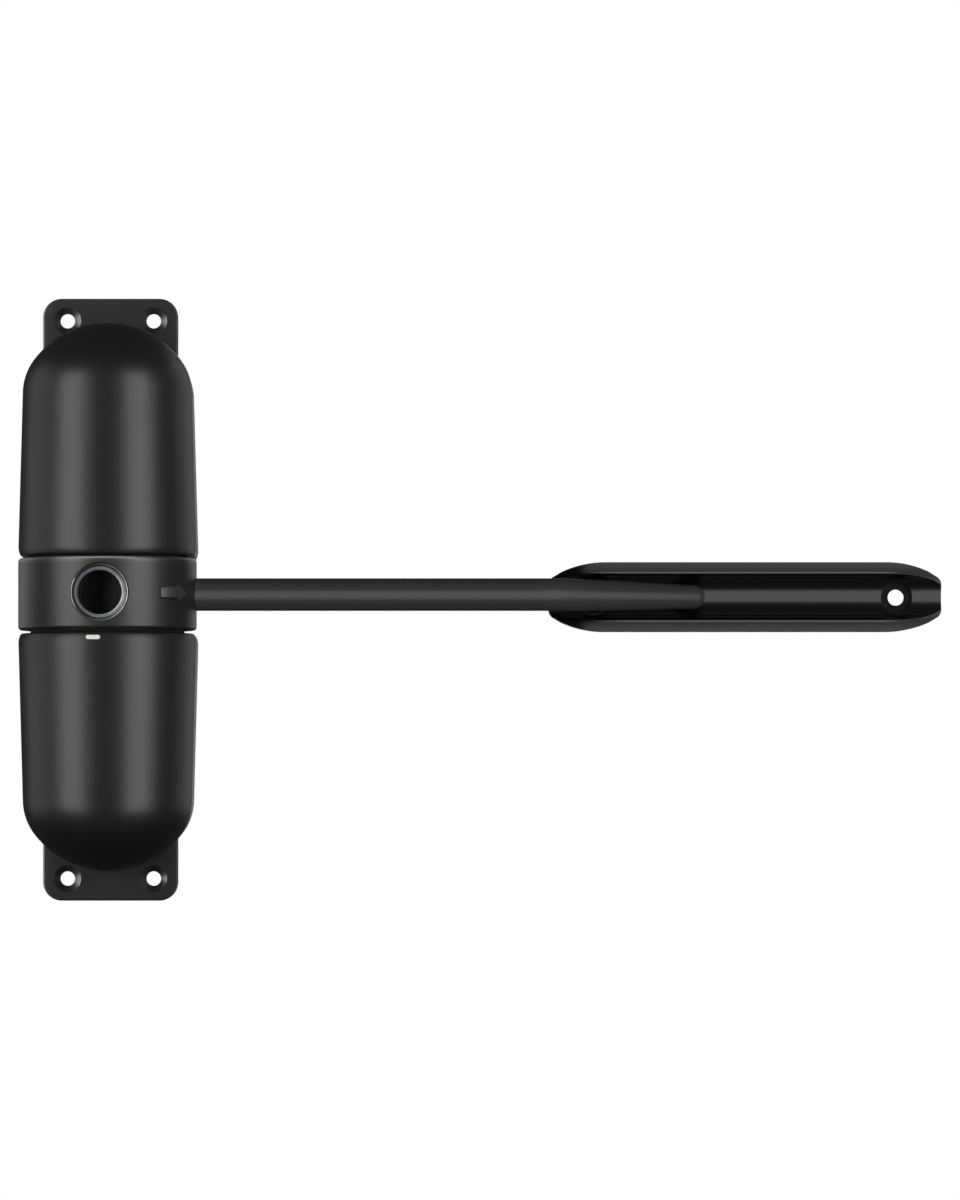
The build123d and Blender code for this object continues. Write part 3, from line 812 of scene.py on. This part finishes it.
class CLOSER_OT_rod(Operator):
    """Model the bent and tapered rod with its ball"""

    bl_idname = "closer.rod"
    bl_label = "Rod"

    def execute(self, context):
        shape, finish = chosen(context)
        low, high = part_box("nose_ball")
        middle, ball_radius, behind = (low + high) / 2, 2 * MM, 1 * MM
        tip = Vector((middle.x, middle.y - behind, DRUM_Z))
        rod = carve(self.bar(shape, tip), [sphere(ball_radius + FIT, middle)])
        finish_piece(rod, "bent_rod", "arm", "arm_rod", rod_paint(finish))
        nylon = moulded_nylon("ball nylon", finish.nylon, 0.32)
        finish_piece(sphere(ball_radius, middle), "nylon_ball", "nose", "nose_ball", nylon)
        return {"FINISHED"}

    def bar(self, shape, tip):
        """The rod from its root in the drum, round its bend and narrowing to its round tip."""
        bend = atan2(tip.y - SHAFT_Y, tip.x - shape.rod_corner)
        start = shape.rod_corner - shape.rod_bend_radius * tan(bend / 2)
        edge = 0.3 * MM
        blunt = shape.rod_radius - edge
        bm = bmesh.new()
        centre = Vector((shape.socket_floor, SHAFT_Y, DRUM_Z))
        place = turned(QUARTER, "Y", centre)
        root = bmesh.ops.create_circle(bm, cap_ends=True, segments=96, radius=blunt, matrix=place)
        along = Vector((1, 0, 0))
        ring, centre = self.grow(bm, edges_round(root["verts"]), centre, along * edge, 1 + edge / blunt)
        ring, centre = self.grow(bm, ring, centre, along * (start - centre.x), 1)
        pivot = Vector((start, SHAFT_Y + shape.rod_bend_radius, 0))
        spun = bmesh.ops.spin(bm, geom=ring, cent=pivot, axis=(0, 0, 1), angle=bend, steps=28)
        ring = edges_of(spun["geom_last"])
        along = Vector((cos(bend), sin(bend), 0))
        centre = pivot + shape.rod_bend_radius * Vector((sin(bend), -cos(bend), 0))
        centre.z = DRUM_Z
        taper = shape.rod_tip_radius / shape.rod_radius
        ring, centre = self.grow(bm, ring, centre, along * (tip - centre).length, taper)
        reached, wide, steps = 0.0, 1.0, 14
        for step in range(1, steps + 1):
            angle = QUARTER * step / (steps + 0.5)
            reach, width = shape.rod_tip_radius * sin(angle), cos(angle)
            ring, centre = self.grow(bm, ring, centre, along * (reach - reached), width / wide)
            reached, wide = reach, width
        bmesh.ops.contextual_create(bm, geom=ring)
        bmesh.ops.recalc_face_normals(bm, faces=bm.faces)
        return bm

    def grow(self, bm, ring, centre, step, scale):
        """Extrudes a ring of edges by a step and scales it; gives the new ring and its centre."""
        edges, verts = extrude(bm, ring)
        centre = centre + step
        bmesh.ops.translate(bm, verts=verts, vec=step)
        bmesh.ops.scale(bm, vec=(scale, scale, scale), space=Matrix.Translation(-centre), verts=verts)
        return edges, centre


class CLOSER_OT_slide_plate(Operator):
    """Model the grooved slide plate"""

    bl_idname = "closer.slide_plate"
    bl_label = "Slide plate"

    def execute(self, context):
        shape, finish = chosen(context)
        half = (track_high.x - track_low.x) / 2
        half_width = (track_high.z - track_low.z) / 2
        height = track_high.y - track_low.y
        floor = height - shape.groove_depth
        axis_y = -(floor + shape.groove_radius)
        hole_x, lip_edge = half - 10 * MM, 0.22 * MM
        ramps = self.ramps(half, half_width, height)
        bar = carve(self.bullet(half, half_width, height), [ramps], "INTERSECT")
        bmesh.ops.remove_doubles(bar, verts=bar.verts, dist=10 * NEAR)
        bmesh.ops.dissolve_limit(bar, angle_limit=radians(0.2), verts=bar.verts, edges=bar.edges)
        bar.normal_update()
        crest = [e for e in bar.edges if e.is_manifold and self.on_crest(e)]
        bevel(bar, crest, shape.track_fillet, 8, clamp=True)
        groove = cylinder(shape.groove_radius, 2.4 * half, 192, turned(QUARTER, "Y", (0, axis_y, 0)))
        bar = carve(bar, [groove, self.screw_hole(-hole_x, floor), self.screw_hole(hole_x, floor)])
        bmesh.ops.remove_doubles(bar, verts=bar.verts, dist=2 * NEAR)
        lips = [e for e in bar.edges if e.is_manifold and self.on_lip(e, axis_y, shape.groove_radius)]
        bevel(bar, lips, lip_edge, 3, clamp=True)
        place = Matrix.Translation(((track_low.x + track_high.x) / 2, 0, DRUM_Z))
        bmesh.ops.transform(bar, matrix=place, verts=bar.verts)
        finish_piece(bar, "slide_plate_bar", "track", "slide_plate", gloss_black(finish), 24)
        return {"FINISHED"}

    def on_crest(self, edge):
        """Whether an edge lies between the bar's upper face and its sides."""
        first, second = (face.normal.y for face in edge.link_faces)
        return min(first, second) < -0.5 and abs(max(first, second)) < 0.1

    def on_lip(self, edge, axis_y, radius):
        """Whether an edge is a lip of the groove."""
        first, second = (vert.co for vert in edge.verts)
        middle = (first + second) / 2
        off_groove = abs(hypot(middle.z, middle.y - axis_y) - radius)
        along = abs(first.x - second.x) > 2 * abs(first.z - second.z)
        return along and off_groove < 0.01 * MM and edge.calc_face_angle(0) > 0.5

    def bullet(self, half, half_width, height):
        """The bar's outline with its narrowing ends, drawn out to its height."""
        curve, nose, round_nose = 12.5 * MM, 4.1 * MM, 2.2 * MM
        drop = half_width - nose
        radius = (curve**2 + drop**2) / (2 * drop)
        heading = 90 - degrees(asin(curve / radius))
        quarter = arc((half - curve, half_width - radius), radius, 90, heading, 12)[:-1]
        quarter = [p for p in quarter if p[0] < half - round_nose * 1.1]
        corner = (half - round_nose, nose - round_nose * 0.62)
        quarter += arc(corner, round_nose, heading - 8, 0, 8)
        outline = quarter + [(x, -z) for x, z in reversed(quarter)]
        outline += [(-x, -z) for x, z in outline]
        return prism([(x, 0, z) for x, z in outline], (0, -height, 0))

    def ramps(self, half, half_width, height):
        """The bar's side view, with its ends ramped down."""
        run, end, past = 14 * MM, 3.2 * MM, 1 * MM
        drop = height - end
        radius = (run**2 + drop**2) / (2 * drop)
        heading = 90 - degrees(asin(run / radius))
        slope = arc((half - run, height - radius), radius, 90, heading, 20)
        upper = slope + [(half + past, slope[-1][1] - 0.3 * past), (half + past, -past)]
        outline = upper + [(-x, y) for x, y in reversed(upper)]
        return prism([(x, -y, -2 * half_width) for x, y in outline], (0, 0, 4 * half_width))

    def screw_hole(self, x, floor):
        """A countersunk screw hole that widens through the groove's sides."""
        shank, mouth, below, above = 1.8 * MM, 3.5 * MM, 1 * MM, 6 * MM
        points = [
            (0, -below),
            (shank, -below),
            (shank, floor + shank - mouth),
            (mouth, floor),
            (mouth + above * tan(radians(19)), floor + above),
            (0, floor + above),
        ]
        return lathe(points, turned(QUARTER, "X", (x, 0, 0)), 72, closed=False)


class CLOSER_OT_base_plate(Operator):
    """Model the base plate with its countersunk holes"""

    bl_idname = "closer.base_plate"
    bl_label = "Base plate"

    def execute(self, context):
        corner_radius, front_edge = 4.2 * MM, 0.4 * MM
        bm = block(plate_high - plate_low, (plate_low + plate_high) / 2)
        corners = [e for e in bm.edges if abs(e.verts[0].co.y - e.verts[1].co.y) > 1 * MM]
        bevel(bm, corners, corner_radius, 16)
        front = [e for e in bm.edges if all(abs(v.co.y - plate_low.y) < NEAR for v in e.verts)]
        bevel(bm, front, front_edge, 4)
        cutters = []
        for x, z, mouth, shank, side in (  # mm; the wall screws' holes, then those of covers and brackets
            (9.65, 62.55, 3.1, 1.62, -1),
            (12, 26, 2.95, 1.6, 1),
            (6, 37.5, 2.7, 1.6, 1),
        ):
            cutters += [
                self.countersink(across * x * MM, up * z * MM, mouth * MM, shank * MM, side)
                for across in (-1, 1)
                for up in (-1, 1)
            ]
        finish = context.scene.closer_finish
        paint = satin_paint(finish, "plate paint", finish.plate_paint)
        finish_piece(carve(bm, cutters), "base_plate_sheet", "housing", "base_plate", paint)
        return {"FINISHED"}

    def countersink(self, x, z, mouth, shank, side):
        """A countersunk hole whose mouth is on the plate's front, or on its back where side is 1."""
        above, deep = 0.3 * MM, 3 * MM
        face = plate_low.y if side < 0 else plate_high.y
        points = [(0, above), (mouth + above, above), (shank, 0.8 * (shank - mouth))]
        points += [(shank, -deep), (0, -deep)]
        return lathe(points, turned(-side * QUARTER, "X", (x, face, z)), 80, closed=False)


class CLOSER_OT_springs(Operator):
    """Model the two torsion springs, which wind up as the arm swings"""

    bl_idname = "closer.springs"
    bl_label = "Torsion springs"

    def execute(self, context):
        shape, finish = chosen(context)
        steel = spring_finish(finish)
        wire, mean, per_turn = shape.spring_wire, shape.spring_radius, 64
        steps = per_turn * shape.spring_turns
        gap, leg, rounding = 0.6 * MM, 3.9 * MM, 0.3 * MM
        for side, name in ((1, "upper_spring"), (-1, "lower_spring")):
            low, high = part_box(name)
            near, far = (low.z, high.z) if side > 0 else (high.z, low.z)
            drum_end = DRUM_Z + side * (DRUM_HALF + gap + wire / 2)
            bracket_end = far - side * leg
            bm = bmesh.new()
            place = turned(QUARTER, "Y", (0, SHAFT_Y + mean, drum_end))
            section = bmesh.ops.create_grid(bm, x_segments=1, y_segments=1, size=wire / 2, matrix=place)
            bevel(bm, section["verts"], rounding, 3, affect="VERTICES")
            bmesh.ops.spin(
                bm,
                geom=bm.faces[:],
                cent=(0, SHAFT_Y, 0),
                axis=(0, 0, 1),
                dvec=(0, 0, (bracket_end - drum_end) / steps),
                angle=tau * shape.spring_turns,
                steps=steps,
            )
            for start, end in ((near, drum_end), (bracket_end, far)):
                straight = block((wire, wire, abs(end - start)), (0, SHAFT_Y + mean, (start + end) / 2))
                bevel(straight, straight.edges[:], rounding, 3)
                join_in(bm, straight)
            coil = finish_piece(bm, name + "_coil", None, name, steel)
            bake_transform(coil)
        return {"FINISHED"}


class CLOSER_OT_inner_finishes(Operator):
    """Give the pieces that keep their own mesh their finishes"""

    bl_idname = "closer.inner_finishes"
    bl_label = "Inner finishes"

    def execute(self, context):
        finish = context.scene.closer_finish
        zinc, bronze = zinc_plating(finish), sintered_bronze(finish)
        guide = moulded_nylon("guide nylon", finish.nylon, 0.45)
        for node in ("bracket_rivets", "shaft_washers", "shaft_nuts", "cover_screws"):
            paint_node(node, zinc)
        for side in ("upper", "lower"):
            paint_node(side + "_bracket", zinc)
            paint_node(side + "_bush", bronze)
            paint_node(side + "_spring_guide", guide)
        paint_node("shaft", ground_steel(finish))
        return {"FINISHED"}


class CLOSER_OT_index_mark(Operator):
    """Model the pale index mark"""

    bl_idname = "closer.index_mark"
    bl_label = "Index mark"

    def execute(self, context):
        shape, finish = chosen(context)
        reach, proud, rounding = 0.72 * MM, 0.05 * MM, 0.12 * MM
        mark = pill(shape.mark_length, shape.mark_width, reach, proud)
        bevel(mark, [e for e in mark.edges if e.calc_face_angle(0) > 1], rounding, 3)
        white = moulded_nylon("mark white", finish.mark, 0.4)
        finish_piece(mark, "index_mark_pill", "housing", "index_mark", white)
        return {"FINISHED"}


class CLOSER_OT_stage(Operator):
    """Set up the floor, backdrop, lamps and camera"""

    bl_idname = "closer.stage"
    bl_label = "Stage"

    def execute(self, context):
        scene = context.scene
        scene.view_settings.view_transform = "Standard"
        self.world(scene)
        self.surfaces()
        ring, sleeve, plate = {"drum_ring"}, {"front_socket_sleeve_turned"}, {"base_plate_sheet"}
        front, stage = {"bent_rod", "slide_plate_bar"}, {"floor", "backdrop"}
        sides = {thing.name for thing in bpy.data.objects if thing.type == "MESH"} - front - stage
        warm, white = (1, 0.997, 0.96), (1, 1, 1)
        for name, azimuth, rise, distance, size, power, tone, lit in (
            ("left strip", -47, 0, 1.1, (0.69, 1.65), 13.2, warm, sides),
            ("right strip", 44, 0, 1.1, (0.67, 1.65), 13.2, warm, sides - sleeve),
            ("left fill", -104, 0, 1.1, (0.9, 1.5), 3, warm, sides - sleeve - ring),
            ("right fill", 130, 0, 1.1, (1.05, 1.5), 2.3, warm, sides - sleeve - ring),
            ("left ring fill", -130, 0, 1.1, (0.9, 1.5), 3, warm, ring),
            ("right ring fill", 148, 0, 1.1, (0.6, 1.5), 1.5, warm, ring),
            ("top light", -15, 62, 1.1, (1.8, 0.35), 16, warm, ring),
            ("sleeve light", -38, 22, 1.1, (0.9, 0.9), 2.7, white, sleeve),
            ("side light", -77, 4, 1.1, (0.6, 0.9), 16, white, plate),
            ("front light", 25, -4, 1.7, (3.2, 1.9), 14, white, front),
        ):
            lamp = self.softbox(name, radians(azimuth), radians(rise), distance, size, power, tone)
            group = bpy.data.collections.new("lit by " + name)
            lamp.light_linking.receiver_collection = group
            for piece in sorted(lit):
                group.objects.link(bpy.data.objects[piece])
        self.camera(scene)
        return {"FINISHED"}

    def world(self, scene):
        """A faint grey surround that the camera sees as white."""
        scene.world = bpy.data.worlds.new("surround")
        graph = Graph(scene.world)
        path = graph.node("ShaderNodeLightPath", output="Is Camera Ray")
        dim, white = (
            graph.node("ShaderNodeBackground", {}, {"Color": (*rgb, 1), "Strength": strength})
            for rgb, strength in (((0.35, 0.35, 0.36), 0.11), ((1, 1, 1), 1.0))
        )
        graph.close("ShaderNodeOutputWorld", graph.mix_shader(path, dim, white))

    def surfaces(self):
        """A floor below the part and a backdrop well behind it."""
        for name, place, turn, size, mirrored in (
            ("floor", (0.08, 0.2, -0.16), 0, 0.45, False),
            ("backdrop", (0.08, 2.6, 0.3), QUARTER, 0.5, True),
        ):
            bm = bmesh.new()
            bmesh.ops.create_grid(bm, x_segments=1, y_segments=1, size=size, matrix=turned(turn, "X", place))
            sheet = plain_object(bm, name)
            sheet.data.materials.append(pale_stage(name + " paint", mirrored))

    def softbox(self, name, azimuth, rise, distance, size, power, tone):
        """A soft light at angles from the front and from the level, aimed at the shaft."""
        light = bpy.data.lights.new(name, "AREA")
        light.shape = "RECTANGLE"
        light.size, light.size_y = size
        light.energy = power
        light.color = tone
        lamp = add_object(name, light)
        level = distance * cos(rise)
        lamp.location = (level * sin(azimuth), SHAFT_Y - level * cos(azimuth), distance * sin(rise))
        lamp.rotation_euler = (QUARTER - rise, 0, azimuth)
        return lamp

    def camera(self, scene):
        """The photograph's view: straight at the wall, from below and left of the picture's middle."""
        camera = bpy.data.cameras.new("camera")
        camera.sensor_fit = "VERTICAL"
        camera.sensor_height = 36
        camera.lens = 173.65
        camera.shift_x, camera.shift_y = 0.1443, 0.1484
        viewer = scene.camera = add_object("camera", camera)
        viewer.location = (0.044, -1.3, -0.04)
        viewer.rotation_euler = (QUARTER, 0, 0)


OPERATORS = (
    CLOSER_OT_covers,
    CLOSER_OT_drum,
    CLOSER_OT_sleeves,
    CLOSER_OT_rod,
    CLOSER_OT_slide_plate,
    CLOSER_OT_base_plate,
    CLOSER_OT_springs,
    CLOSER_OT_inner_finishes,
    CLOSER_OT_index_mark,
    CLOSER_OT_stage,
)


class CLOSER_PT_panel(Panel):
    """Lists the sizes, the finishes and the steps"""

    bl_label = "Spring door closer"
    bl_idname = "CLOSER_PT_panel"
    bl_space_type = "VIEW_3D"
    bl_region_type = "UI"
    bl_category = "Door closer"

    def draw(self, context):
        layout = self.layout
        for group in (context.scene.closer_shape, context.scene.closer_finish):
            box = layout.box()
            for name in group.__annotations__:
                box.prop(group, name)
        for operator in OPERATORS:
            layout.operator(operator.bl_idname)


CLASSES = (CloserShape, CloserFinish, *OPERATORS, CLOSER_PT_panel)


def register():
    for cls in CLASSES:
        bpy.utils.register_class(cls)
    bpy.types.Scene.closer_shape = PointerProperty(type=CloserShape)
    bpy.types.Scene.closer_finish = PointerProperty(type=CloserFinish)


def unregister():
    del bpy.types.Scene.closer_finish
    del bpy.types.Scene.closer_shape
    for cls in reversed(CLASSES):
        bpy.utils.unregister_class(cls)


def main():
    """Builds every piece, then the stage."""
    register()
    for operator in OPERATORS:
        group, name = operator.bl_idname.split(".")
        getattr(getattr(bpy.ops, group), name)()


if __name__ == "__main__":
    main()
